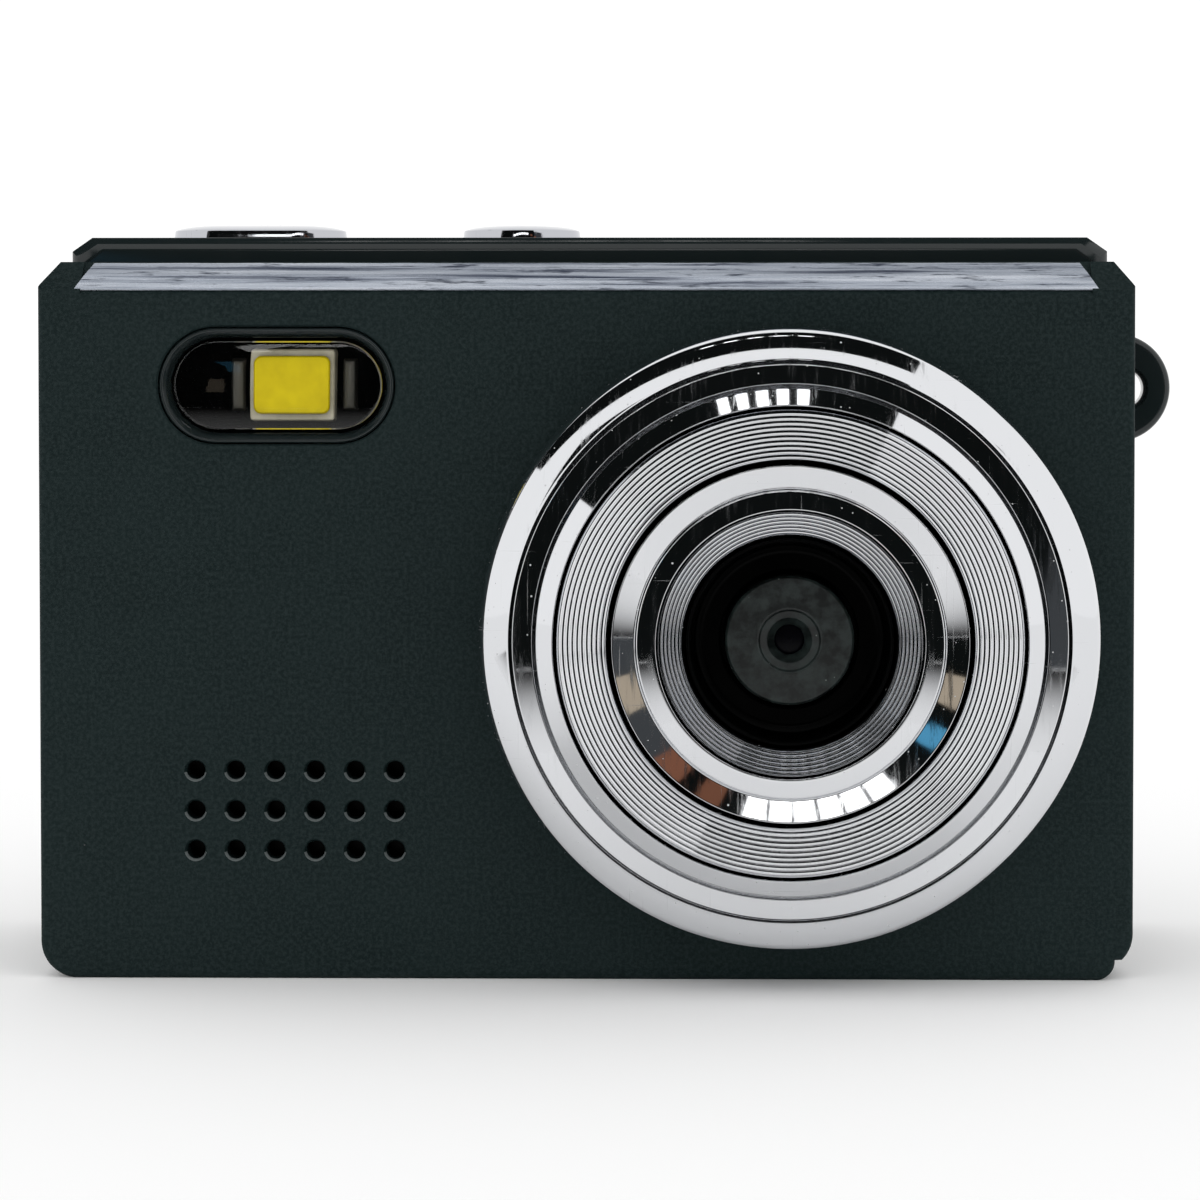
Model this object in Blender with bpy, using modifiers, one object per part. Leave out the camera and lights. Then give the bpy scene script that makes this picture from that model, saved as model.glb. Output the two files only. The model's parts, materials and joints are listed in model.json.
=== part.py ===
"""Thumb-size compact digital camera, built as separate named pieces.

Frame: +X to the viewer's right when facing the lens, +Z up, the lens looks along -Y.
The origin is the middle of the bottom face. Sizes below are in millimetres and are
turned into metres by MM.
"""
import math

import bmesh
import bpy

MM = 0.001
GAP = 0.12                    # clearance between pieces that touch
OBJECT_NAME = "compact_camera"

# Case
FRONT_HALF_WIDTH = 23.0
FRONT_TOP = 30.2
FRONT_FACE = -8.0
PARTING = -4.4                # where the front cover meets the rear cover
REAR_HALF_WIDTH = 22.22
REAR_TOP = 31.3
REAR_FACE = 8.0
WALL = 1.2
BOTTOM_CORNER = 1.55
TOP_CHAMFER = 1.2             # 45 degree edge that carries the trim strip
STRIP_HALF_LENGTH = 21.1
STRIP_THICKNESS = 0.3
STRIP_WIDTH = 1.3
NOTCH_HEIGHT = 0.85           # pry notch in the lower right corner
NOTCH_X = 22.25
NOTCH_CORNER = 0.8
REAR_CORNER = 1.1
BACK_WALL = 1.4

# Lens
LENS_X = 8.5
LENS_Z = 14.6
RING_STEPS = 48
BARREL_R = 2.65

# Flash
FLASH_X = -12.96
FLASH_Z = 25.0
FLASH_LENGTH = 9.9
FLASH_HEIGHT = 4.85
FLASH_RIM = 0.45
LED_X = -12.5

# Speaker grille
GRILLE_X = -12.22
GRILLE_Z = 7.12
GRILLE_PITCH = 1.68
GRILLE_HOLE_R = 0.39
SPEAKER_R = 5.5

# Deck buttons: centre x, length, depth, joint travel is 0.3
SHUTTER = (-14.57, 7.6, 4.4)
POWER = (-3.07, 5.17, 5.17)
BUTTON_TOP = 31.94
BUTTON_FLANGE = 0.45
DECK_BOARD_TOP = 28.0

# Rear side
LCD_X = 4.0
LCD_Z = 15.05
LCD_VIEW = (26.4, 19.8)
KEY_X = -16.5
KEY_SIZE = (4.0, 3.0)
KEY_PITCH = 5.4
KEY_FACE = 8.4

# Case screws
SCREW_X = 19.9
SCREW_ZS = (2.5, 27.6)
BOSS_R = 1.8
SCREW_HEAD_R = 1.2
SCREW_R = 0.6

# Strap lug
LUG_CENTRE = (23.05, 24.8)
LUG_R = 2.38
LUG_HOLE = (23.48, 24.77)
LUG_HOLE_R = 0.8
LUG_Y = (0.1, 1.9)
LUG_FOOT_Y = (0.3, 1.7)
LUG_FOOT_Z = (23.8, 25.7)

# Side openings: (y, z) of the middle
USB_CENTRE = (-0.5, 9.5)
USB_SIZE = (8.9, 3.2)
MIC_CENTRE = (-2.6, 23.4)

# Direction presets: local x, y, z go to these world axes
TURN = {
    "Z": (0.0, 0.0, 0.0),                            # x, y, z
    "Y": (math.radians(90), 0.0, 0.0),               # x, z, -y
    "X": (math.radians(90), 0.0, math.radians(90)),  # y, z, x
}


def clear_scene():
    for obj in list(bpy.data.objects):
        bpy.data.objects.remove(obj, do_unlink=True)


def new_collection(name):
    found = bpy.data.collections.get(name) or bpy.data.collections.new(name)
    if found.name not in bpy.context.scene.collection.children:
        bpy.context.scene.collection.children.link(found)
    return found


def material(name, color, roughness, metallic=0.0, alpha=1.0):
    mat = bpy.data.materials.new(name)
    mat.use_nodes = True
    shader = mat.node_tree.nodes["Principled BSDF"]
    shader.inputs["Base Color"].default_value = (*color, 1.0)
    shader.inputs["Roughness"].default_value = roughness
    shader.inputs["Metallic"].default_value = metallic
    shader.inputs["Alpha"].default_value = alpha
    return mat


# --- shape helpers ---------------------------------------------------------

def link(obj):
    PARTS.objects.link(obj)
    return obj


def mesh_object(name, bm):
    mesh = bpy.data.meshes.new(name)
    bmesh.ops.recalc_face_normals(bm, faces=bm.faces)
    bm.to_mesh(mesh)
    bm.free()
    return link(bpy.data.objects.new(name, mesh))


def box(name, low, high):
    """A block between two corners given in millimetres."""
    size = [(b - a) * MM for a, b in zip(low, high)]
    bm = bmesh.new()
    bmesh.ops.create_cube(bm, size=1.0)
    bmesh.ops.scale(bm, vec=size, verts=bm.verts)
    obj = mesh_object(name, bm)
    obj.location = [(a + b) / 2 * MM for a, b in zip(low, high)]
    return obj


def rod(name, radius, low, high, centre, axis, segments=24):
    """A cylinder along an axis, from low to high on it, through centre in the other two."""
    bm = bmesh.new()
    bmesh.ops.create_cone(bm, cap_ends=True, segments=segments, radius1=radius * MM,
                          radius2=radius * MM, depth=abs(high - low) * MM)
    obj = mesh_object(name, bm)
    obj.rotation_euler = TURN[axis]
    place_along(obj, centre, (low + high) / 2, axis)
    return obj


def place_along(obj, centre, middle, axis):
    a, b = centre
    spots = {"X": (middle, a, b), "Y": (a, middle, b), "Z": (a, b, middle)}
    obj.location = [value * MM for value in spots[axis]]


def arc(cx, cy, radius, start, end, steps):
    """Points on a circle from start to end, in degrees."""
    turns = [math.radians(start + (end - start) * i / steps) for i in range(steps + 1)]
    return [(cx + radius * math.cos(t), cy + radius * math.sin(t)) for t in turns]


def stadium(length, height, steps=10):
    """A slot outline with round ends, centred on zero."""
    radius = height / 2
    reach = length / 2 - radius
    if reach < 1e-6:
        return arc(0, 0, radius, 0, 360, 2 * steps)[:-1]
    return arc(reach, 0, radius, -90, 90, steps) + arc(-reach, 0, radius, 90, 270, steps)


def rounded(width, height, radius, steps=4):
    """A rectangle with round corners, centred on zero."""
    x = width / 2 - radius
    y = height / 2 - radius
    return (arc(x, y, radius, 0, 90, steps) + arc(-x, y, radius, 90, 180, steps)
            + arc(-x, -y, radius, 180, 270, steps) + arc(x, -y, radius, 270, 360, steps))


def upended(outline):
    """The same outline lying the other way, long side upright."""
    return [(y, x) for x, y in reversed(outline)]


def prism(name, outline, low, high, axis="Y", centre=(0, 0)):
    """A flat outline given in millimetres, extruded from low to high along an axis."""
    curve = bpy.data.curves.new(name, "CURVE")
    curve.dimensions = "2D"
    curve.fill_mode = "BOTH"
    curve.extrude = abs(high - low) / 2 * MM
    spline = curve.splines.new("POLY")
    spline.points.add(len(outline) - 1)
    for point, (x, y) in zip(spline.points, outline):
        point.co = (x * MM, y * MM, 0.0, 1.0)
    spline.use_cyclic_u = True
    flat = link(bpy.data.objects.new(name + "_outline", curve))
    flat.rotation_euler = TURN[axis]
    place_along(flat, centre, (low + high) / 2, axis)
    return as_mesh(flat, name)


def as_mesh(flat, name):
    """Turns a curve object into a welded mesh object in the same place."""
    bpy.context.view_layer.update()
    depsgraph = bpy.context.evaluated_depsgraph_get()
    mesh = bpy.data.meshes.new_from_object(flat.evaluated_get(depsgraph))
    bm = bmesh.new()
    bm.from_mesh(mesh)
    bmesh.ops.remove_doubles(bm, verts=bm.verts, dist=1e-7)
    bm.to_mesh(mesh)
    bm.free()
    obj = link(bpy.data.objects.new(name, mesh))
    obj.matrix_world = flat.matrix_world
    bpy.data.objects.remove(flat, do_unlink=True)
    return obj


def turned(name, profile, steps=RING_STEPS):
    """A ring about the lens axis: (radius, height above the front face) down its outside."""
    bm = bmesh.new()
    corners = [bm.verts.new((r * MM, 0.0, h * MM)) for r, h in profile]
    for a, b in zip(corners, corners[1:] + corners[:1]):
        bm.edges.new((a, b))
    mesh = bpy.data.meshes.new(name)
    bm.to_mesh(mesh)
    bm.free()
    obj = link(bpy.data.objects.new(name, mesh))
    obj.rotation_euler = TURN["Y"]
    obj.location = (LENS_X * MM, FRONT_FACE * MM, LENS_Z * MM)
    screw = obj.modifiers.new("turn", "SCREW")
    screw.steps = steps
    screw.render_steps = steps
    screw.use_merge_vertices = True
    screw.merge_threshold = 1e-6
    return obj


def soften(obj, width, segments=2):
    bevel = obj.modifiers.new("edges", "BEVEL")
    bevel.width = width * MM
    bevel.segments = segments
    bevel.limit_method = "ANGLE"
    bevel.angle_limit = math.radians(50)
    return obj


def combine(target, tool, operation):
    """Cuts with, or joins, another object, which then becomes a hidden cutter."""
    boolean = target.modifiers.new(tool.name, "BOOLEAN")
    boolean.operation = operation
    boolean.solver = "EXACT"
    boolean.object = tool
    PARTS.objects.unlink(tool)
    CUTTERS.objects.link(tool)
    tool.hide_render = True
    tool.display_type = "WIRE"
    return target


def cut(target, tool):
    return combine(target, tool, "DIFFERENCE")


def join(target, tool):
    return combine(target, tool, "UNION")


def paint(obj, mat):
    obj.data.materials.clear()
    obj.data.materials.append(mat)
    obj.data.shade_smooth()
    obj.data.set_sharp_from_angle(angle=math.radians(35))
    return obj


# --- case ------------------------------------------------------------------

def clipped_top(half_width, top, across, down):
    """The top edge of a case outline, right to left, with its two corners clipped off."""
    return [(half_width, top - down), (half_width - across, top),
            (-half_width + across, top), (-half_width, top - down)]


def front_outline():
    """Front cover outline: clipped top corners, round lower corners, notch at lower right."""
    w = FRONT_HALF_WIDTH
    r = BOTTOM_CORNER
    points = clipped_top(w, FRONT_TOP, 0.8, 1.05) + arc(-w + r, r, r, 180, 270, 6)
    points += arc(NOTCH_X - NOTCH_CORNER, NOTCH_CORNER, NOTCH_CORNER, 270, 360, 5)
    points += [(NOTCH_X, NOTCH_HEIGHT)]
    return points + arc(w - r, NOTCH_HEIGHT + 1.1, r, -45, 0, 4)


def rear_outline():
    """Rear cover outline with small clipped corners at the deck's ends."""
    w = REAR_HALF_WIDTH
    r = REAR_CORNER
    points = clipped_top(w, REAR_TOP, 0.86, 0.6) + arc(-w + r, r, r, 180, 270, 5)
    return points + arc(w - r, r, r, 270, 360, 5)


def screw_places():
    return [(side * SCREW_X, z) for z in SCREW_ZS for side in (-1, 1)]


def chamfer_block(name, half_length, depth, wide):
    """A long block turned 45 degrees whose face lies on the top chamfer, sunk by depth."""
    thickness = 3.0
    bm = bmesh.new()
    bmesh.ops.create_cube(bm, size=1.0)
    bmesh.ops.scale(bm, vec=(2 * half_length * MM, thickness * MM, wide * MM), verts=bm.verts)
    obj = mesh_object(name, bm)
    obj.rotation_euler = (math.radians(-45), 0.0, 0.0)
    offset = (thickness / 2 - depth) / math.sqrt(2)
    y = FRONT_FACE + TOP_CHAMFER / 2 - offset
    z = FRONT_TOP - TOP_CHAMFER / 2 + offset
    obj.location = (0.0, y * MM, z * MM)
    return obj


def make_front_cover(mat):
    cover = prism("front_cover", front_outline(), FRONT_FACE, PARTING)
    soften(cover, 0.25)
    cut(cover, chamfer_block("chamfer_cutter", 30.0, 0.0, 6.0))
    cut(cover, chamfer_block("strip_seat_cutter", STRIP_HALF_LENGTH + GAP, STRIP_THICKNESS + GAP,
                             STRIP_WIDTH + 2 * GAP))
    inner = rounded(2 * FRONT_HALF_WIDTH - 2 * WALL, 27.6, 0.8)
    cut(cover, prism("cavity_cutter", inner, FRONT_FACE + WALL, PARTING + 1, centre=(0, 15.0)))
    for index, place in enumerate(screw_places()):
        boss = rod(f"front_boss_{index}", BOSS_R, FRONT_FACE + WALL - 0.1, PARTING, place, "Y", 20)
        join(cover, boss)
        pilot = rod(f"pilot_{index}", SCREW_R + 0.05, FRONT_FACE + WALL, PARTING + 1, place, "Y", 16)
        cut(cover, pilot)
    cut(cover, rod("lens_hole", 3.2, FRONT_FACE - 1, -6, (LENS_X, LENS_Z), "Y", 32))
    seat = stadium(FLASH_LENGTH + 2 * GAP, FLASH_HEIGHT + 2 * GAP)
    cut(cover, prism("flash_hole", seat, FRONT_FACE - 1, -6, centre=(FLASH_X, FLASH_Z)))
    cut(cover, grille_cutter())
    return paint(cover, mat)


def grille_cutter():
    """The round speaker holes as one cutter."""
    bm = bmesh.new()
    for column in range(6):
        for row in range(3):
            made = bmesh.ops.create_cone(bm, cap_ends=True, segments=16, depth=3.0 * MM,
                                         radius1=GRILLE_HOLE_R * MM, radius2=GRILLE_HOLE_R * MM)
            x = (column - 2.5) * GRILLE_PITCH
            y = (row - 1) * GRILLE_PITCH
            bmesh.ops.translate(bm, verts=made["verts"], vec=(x * MM, y * MM, 0.0))
    obj = mesh_object("grille_cutter", bm)
    obj.rotation_euler = TURN["Y"]
    obj.location = (GRILLE_X * MM, -7.4 * MM, GRILLE_Z * MM)
    return obj


def make_trim_strip(mat):
    """Thin strip flush in its seat on the top chamfer: a bar turned 45 degrees."""
    y = FRONT_FACE + TOP_CHAMFER / 2
    z = FRONT_TOP - TOP_CHAMFER / 2
    sunk = STRIP_THICKNESS / math.sqrt(2)
    half = STRIP_WIDTH / 2 / math.sqrt(2)
    section = [(y - half, z - half), (y + half, z + half),
               (y + half + sunk, z + half - sunk), (y - half + sunk, z - half - sunk)]
    strip = prism("top_trim_strip", section, -STRIP_HALF_LENGTH, STRIP_HALF_LENGTH, "X")
    return paint(strip, mat)


def make_rear_cover(mat):
    front = PARTING + GAP
    cover = prism("rear_cover", rear_outline(), front, REAR_FACE)
    soften(cover, 0.4)
    inner = rounded(2 * (REAR_HALF_WIDTH - WALL), REAR_TOP - 2 * WALL, 0.6)
    middle = (0, REAR_TOP / 2)
    cut(cover, prism("rear_cavity", inner, front - 1, REAR_FACE - BACK_WALL, centre=middle))
    for index, place in enumerate(screw_places()):
        join(cover, rod(f"rear_boss_{index}", BOSS_R, front, REAR_FACE - 0.7, place, "Y", 20))
        cut(cover, rod(f"head_well_{index}", SCREW_HEAD_R + 0.1, -0.6, 9, place, "Y", 16))
        cut(cover, rod(f"shank_hole_{index}", SCREW_R + 0.12, front - 1, 0, place, "Y", 16))
    for tag, (x, length, depth) in (("shutter", SHUTTER), ("power", POWER)):
        hole = stadium(length + 2 * GAP, depth + 2 * GAP)
        cut(cover, prism(f"{tag}_hole", hole, REAR_TOP - 3, REAR_TOP + 1, "Z", (x, 0)))
    view = rounded(LCD_VIEW[0] + 2.0, LCD_VIEW[1] + 2.0, 0.8)
    cut(cover, prism("lcd_hole", view, REAR_FACE - 3, REAR_FACE + 1, centre=(LCD_X, LCD_Z)))
    hole = rounded(KEY_SIZE[0] + 2 * GAP, KEY_SIZE[1] + 2 * GAP, 0.8)
    for index, z in enumerate(key_heights()):
        cut(cover, prism(f"key_hole_{index}", hole, REAR_FACE - 3, REAR_FACE + 1, centre=(KEY_X, z)))
    mouth = upended(stadium(USB_SIZE[0] + 0.3, USB_SIZE[1] + 0.3))
    cut(cover, prism("usb_mouth", mouth, 20.6, 23, "X", USB_CENTRE))
    cut(cover, box("card_mouth", (3.6, -0.95, -1), (14.6, 0.25, 1.8)))
    cut(cover, rod("mic_hole", 0.45, -23, -20.6, MIC_CENTRE, "X", 12))
    y, z = LUG_FOOT_Y, LUG_FOOT_Z
    cut(cover, box("lug_slot", (20.6, y[0] - GAP, z[0] - GAP), (23, y[1] + GAP, z[1] + GAP)))
    return paint(cover, mat)


def make_lug(mat):
    """Half-round strap tab whose foot fills a slot in the side wall."""
    flat_side = REAR_HALF_WIDTH + GAP
    reach = math.degrees(math.acos((flat_side - LUG_CENTRE[0]) / LUG_R))
    outline = arc(*LUG_CENTRE, LUG_R, -reach, reach, 24)
    lug = prism("strap_lug", outline, *LUG_Y)
    foot = box("lug_foot", (21.1, LUG_FOOT_Y[0], LUG_FOOT_Z[0]),
               (flat_side + 0.15, LUG_FOOT_Y[1], LUG_FOOT_Z[1]))
    join(lug, foot)
    cut(lug, rod("lug_eye", LUG_HOLE_R, -1, 3, LUG_HOLE, "Y", 24))
    return paint(lug, mat)


def make_screws(mat):
    for index, place in enumerate(screw_places()):
        screw = rod(f"case_screw_{index + 1}", SCREW_HEAD_R, -0.4, 0.5, place, "Y", 16)
        join(screw, rod(f"shank_{index}", SCREW_R, -6.2, 0, place, "Y", 12))
        x, z = place
        slot = box(f"slot_{index}", (x - 0.7, 0.2, z - 0.15), (x + 0.7, 1.0, z + 0.15))
        cross = box(f"cross_{index}", (x - 0.15, 0.2, z - 0.7), (x + 0.15, 1.0, z + 0.7))
        cut(screw, slot)
        cut(screw, cross)
        paint(screw, mat)


# --- lens ------------------------------------------------------------------

def make_lens(mats):
    outer = [(9.65, 5.45), (10.35, 5.0), (11.3, 4.45), (11.5, 4.3), (12.3, 3.6), (12.7, 2.9),
             (12.9, GAP), (9.65, GAP)]
    grooved = [(7.42, 5.42), (9.3, 5.55), (9.53, 5.3), (9.53, GAP), (7.42, GAP)]
    polished = [(5.45, 5.8), (6.2, 6.3), (7.3, 5.5), (7.3, GAP), (5.45, GAP)]
    inner = [(4.35, 4.5), (5.33, 5.65), (5.33, GAP), (4.35, GAP)]
    baffle = [(2.85, 2.9), (3.95, 2.9), (4.05, 4.3), (4.23, 4.3), (4.23, GAP), (2.85, GAP)]
    barrel = [(1.3, 3.7), (2.5, 3.7), (BARREL_R, 3.55), (BARREL_R, -3.4), (1.45, -3.4),
              (1.45, 2.9), (0.62, 2.9), (0.62, 3.1)]
    for name, profile, mat in (("lens_outer_ring", outer, "chrome"),
                               ("lens_grooved_ring", grooved, "chrome"),
                               ("lens_polished_ring", polished, "chrome"),
                               ("lens_inner_ring", inner, "chrome"),
                               ("lens_baffle", baffle, "gloss_black"),
                               ("lens_barrel", barrel, "barrel")):
        paint(turned(name, profile), mats[mat])
    centre = (LENS_X, LENS_Z)
    front = FRONT_FACE
    glass = rod("lens_element", 1.33, front - 2.75, front - 1.6, centre, "Y", 24)
    paint(soften(glass, 0.3), mats["glass"])
    paint(rod("ir_filter", 1.33, front + 2.9, front + 3.2, centre, "Y", 24), mats["filter"])
    holder = box("lens_holder", (4.5, -6.6, 10.6), (12.5, -3.2, 18.6))
    cut(holder, rod("holder_bore", BARREL_R + 0.08, -8, -2, centre, "Y", RING_STEPS))
    paint(holder, mats["dark_plastic"])
    paint(box("sensor_chip", (6.7, -3.8, 13.2), (10.3, -3.2, 16.0)), mats["chip"])
    paint(box("sensor_board", (3.8, -3.08, 9.9), (13.2, -2.3, 19.3)), mats["board"])
    paint(box("sensor_flex", (7.0, -2.15, 16.6), (10.0, -2.0, 24.6)), mats["flex"])


# --- flash and speaker -----------------------------------------------------

def make_flash(mats):
    centre = (FLASH_X, FLASH_Z)
    bezel = prism("flash_bezel", stadium(FLASH_LENGTH, FLASH_HEIGHT), FRONT_FACE, -6.9,
                  centre=centre)
    length = FLASH_LENGTH - 2 * FLASH_RIM
    height = FLASH_HEIGHT - 2 * FLASH_RIM
    cut(bezel, prism("bezel_hole", stadium(length, height), -9, -6, centre=centre))
    paint(bezel, mats["gloss_black"])
    pane = stadium(length - 2 * GAP, height - 2 * GAP)
    paint(prism("flash_window", pane, -7.6, -7.0, centre=centre), mats["clear"])
    x, z = LED_X, FLASH_Z
    paint(box("flash_board", (-17.9, -4.9, 21.6), (-7.6, -4.1, 28.4)), mats["board"])
    paint(box("flash_led", (x - 1.75, -5.9, z - 1.4), (x + 1.75, -5.0, z + 1.4)), mats["led"])
    top = rounded(2.95, 2.3, 0.35)
    paint(prism("flash_phosphor", top, -6.2, -6.0, centre=(x, z)), mats["phosphor"])
    for tag, shift in (("left", -2.3), ("right", 2.3)):
        low = (x + shift - 0.3, -5.4, z - 1.0)
        high = (x + shift + 0.3, -5.0, z + 1.0)
        paint(box(f"flash_pad_{tag}", low, high), mats["solder"])


def make_speaker(mats):
    centre = (GRILLE_X, GRILLE_Z)
    gasket = rod("speaker_gasket", SPEAKER_R, -6.7, -6.5, centre, "Y", 32)
    cut(gasket, rod("gasket_hole", 4.8, -8, -5, centre, "Y", 32))
    paint(gasket, mats["dark_plastic"])
    speaker = rod("speaker", SPEAKER_R, -6.4, -3.9, centre, "Y", 32)
    paint(soften(speaker, 0.3), mats["steel"])


# --- moving pieces ---------------------------------------------------------

def key_heights():
    return [LCD_Z + (index - 1.5) * KEY_PITCH for index in range(4)]


def make_deck_buttons(mats):
    for tag, (x, length, depth) in (("shutter", SHUTTER), ("power", POWER)):
        base = REAR_TOP - WALL - GAP
        cap = prism(f"{tag}_button", stadium(length, depth), base - BUTTON_FLANGE, BUTTON_TOP,
                    "Z", (x, 0))
        soften(cap, 0.35, 3)
        flange = stadium(length + 0.8, depth + 0.8)
        join(cap, prism(f"{tag}_flange", flange, base - BUTTON_FLANGE, base, "Z", (x, 0)))
        paint(cap, mats["chrome"])
        switch = box(f"{tag}_switch", (x - 1.5, -1.5, DECK_BOARD_TOP + 0.1), (x + 1.5, 1.5, 28.9))
        join(switch, rod(f"{tag}_plunger", 0.7, 28.5, 29.05, (x, 0), "Z", 16))
        paint(switch, mats["steel"])
    paint(box("deck_board", (-18.0, -2.2, DECK_BOARD_TOP - 0.7), (0.4, 2.2, DECK_BOARD_TOP)),
          mats["board"])


def make_rear_keys(mats):
    back = REAR_FACE - BACK_WALL - GAP
    for index, z in enumerate(key_heights()):
        cap = prism(f"rear_key_{index + 1}", rounded(*KEY_SIZE, 0.7), back - 0.4, KEY_FACE,
                    centre=(KEY_X, z))
        soften(cap, 0.3)
        flange = rounded(KEY_SIZE[0] + 0.8, KEY_SIZE[1] + 0.8, 1.0)
        join(cap, prism(f"key_flange_{index}", flange, back - 0.4, back, centre=(KEY_X, z)))
        paint(cap, mats["gloss_black"])
        low = (KEY_X - 1.3, 4.95, z - 1.3)
        high = (KEY_X + 1.3, 5.7, z + 1.3)
        paint(box(f"key_switch_{index + 1}", low, high), mats["steel"])
    paint(box("key_board", (-20.6, 4.2, 4.6), (-12.3, 4.83, 25.5)), mats["board"])


# --- display, boards and power ---------------------------------------------

def make_display(mats):
    paint(box("lcd_panel", (-11.0, 4.2, 4.4), (19.0, 6.3, 25.7)), mats["lcd"])
    pane = rounded(LCD_VIEW[0] + 2.0 - 2 * GAP, LCD_VIEW[1] + 2.0 - 2 * GAP, 0.7)
    window = prism("lcd_window", pane, 6.8, 7.85, centre=(LCD_X, LCD_Z))
    paint(window, mats["clear"])


def make_electronics(mats):
    paint(box("main_board", (-20.6, 1.3, 4.6), (20.6, 2.1, 25.5)), mats["board"])
    paint(box("processor_chip", (3.4, 0.3, 16.6), (11.4, 1.2, 24.6)), mats["chip"])
    paint(box("memory_chip", (-9.0, 0.4, 21.2), (-3.0, 1.2, 25.0)), mats["chip"])
    paint(soften(box("battery", (-20.0, -3.3, 4.6), (2.4, 0.6, 20.4)), 0.6), mats["foil"])
    usb = prism("usb_socket", upended(stadium(*USB_SIZE)), 15.6, 22.1, "X", USB_CENTRE)
    throat = upended(stadium(USB_SIZE[0] - 0.6, USB_SIZE[1] - 0.6))
    cut(usb, prism("usb_throat", throat, 16.4, 23.0, "X", USB_CENTRE))
    join(usb, box("usb_tongue", (16.0, -0.85, 6.3), (21.4, -0.15, 12.7)))
    paint(usb, mats["steel"])
    card = box("card_socket", (3.2, -1.15, 1.4), (15.0, 0.45, 14.9))
    cut(card, box("card_throat", (3.7, -0.8, 0.5), (14.5, 0.1, 13.9)))
    paint(card, mats["steel"])
    paint(rod("microphone", 1.95, -20.9, -19.5, MIC_CENTRE, "X", 20), mats["steel"])


def make_materials():
    return {
        "charcoal": material("matte_charcoal", (0.012, 0.017, 0.017), 0.55),
        "gloss_black": material("gloss_black", (0.008, 0.009, 0.010), 0.12),
        "trim": material("trim_grey", (0.45, 0.46, 0.52), 0.25, 0.6),
        "chrome": material("chrome", (0.85, 0.86, 0.88), 0.07, 1.0),
        "barrel": material("barrel_grey", (0.03, 0.033, 0.035), 0.5),
        "glass": material("lens_glass", (0.5, 0.55, 0.62), 0.03, 0.0, 0.35),
        "filter": material("ir_filter_glass", (0.35, 0.75, 0.7), 0.05, 0.0, 0.5),
        "clear": material("clear_plastic", (0.75, 0.78, 0.8), 0.05, 0.0, 0.3),
        "led": material("led_package", (0.78, 0.73, 0.58), 0.5),
        "phosphor": material("led_phosphor", (0.62, 0.5, 0.01), 0.45),
        "solder": material("solder", (0.25, 0.23, 0.2), 0.35, 1.0),
        "dark_plastic": material("dark_plastic", (0.02, 0.02, 0.02), 0.6),
        "chip": material("chip_black", (0.015, 0.015, 0.016), 0.4),
        "board": material("circuit_board", (0.01, 0.07, 0.035), 0.45),
        "flex": material("flex_amber", (0.45, 0.2, 0.03), 0.4),
        "steel": material("plated_steel", (0.6, 0.6, 0.6), 0.3, 1.0),
        "foil": material("battery_foil", (0.6, 0.61, 0.63), 0.4, 0.8),
        "lcd": material("lcd_panel_black", (0.01, 0.012, 0.02), 0.2),
    }


def main():
    mats = make_materials()
    make_front_cover(mats["charcoal"])
    make_trim_strip(mats["trim"])
    make_rear_cover(mats["gloss_black"])
    make_lug(mats["gloss_black"])
    make_screws(mats["steel"])
    make_lens(mats)
    make_flash(mats)
    make_speaker(mats)
    make_deck_buttons(mats)
    make_rear_keys(mats)
    make_display(mats)
    make_electronics(mats)


clear_scene()
PARTS = new_collection(OBJECT_NAME)
CUTTERS = new_collection(OBJECT_NAME + "_cutters")
main()
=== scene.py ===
"""Looks for the thumb-size compact camera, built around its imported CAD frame.

Lengths are in millimetres until they reach a mesh, where MM turns them into metres.
"""
import json
import math

import bmesh
import bpy
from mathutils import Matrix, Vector


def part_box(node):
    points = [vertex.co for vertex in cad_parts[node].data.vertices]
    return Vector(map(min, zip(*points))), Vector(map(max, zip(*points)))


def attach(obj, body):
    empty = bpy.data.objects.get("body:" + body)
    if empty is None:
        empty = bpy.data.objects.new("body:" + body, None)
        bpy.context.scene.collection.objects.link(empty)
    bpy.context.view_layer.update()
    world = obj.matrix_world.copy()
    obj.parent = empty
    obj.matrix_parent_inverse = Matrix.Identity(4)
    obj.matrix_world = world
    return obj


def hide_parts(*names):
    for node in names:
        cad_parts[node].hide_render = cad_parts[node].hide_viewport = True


MM = 0.001
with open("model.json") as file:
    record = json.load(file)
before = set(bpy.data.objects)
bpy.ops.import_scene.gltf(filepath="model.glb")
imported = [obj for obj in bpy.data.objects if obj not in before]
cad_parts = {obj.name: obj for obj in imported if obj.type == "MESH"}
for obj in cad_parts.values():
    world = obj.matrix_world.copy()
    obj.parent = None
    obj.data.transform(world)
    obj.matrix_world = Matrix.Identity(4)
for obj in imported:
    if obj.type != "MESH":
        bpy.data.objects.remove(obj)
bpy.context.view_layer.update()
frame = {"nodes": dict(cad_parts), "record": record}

ROOT = "camera_body"
STEPS = 288                    # segments round a turned piece
SHARP = math.radians(32)


def millimetres(node):
    low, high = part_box(node)
    return [v / MM for v in low], [v / MM for v in high]


def middle(node, axis):
    low, high = millimetres(node)
    return (low[axis] + high[axis]) / 2


def size(node):
    low, high = millimetres(node)
    return [b - a for a, b in zip(low, high)]


def upright_centre(node):
    """The node's (x, z) middle, as seen from the front or the back."""
    return middle(node, 0), middle(node, 2)


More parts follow.
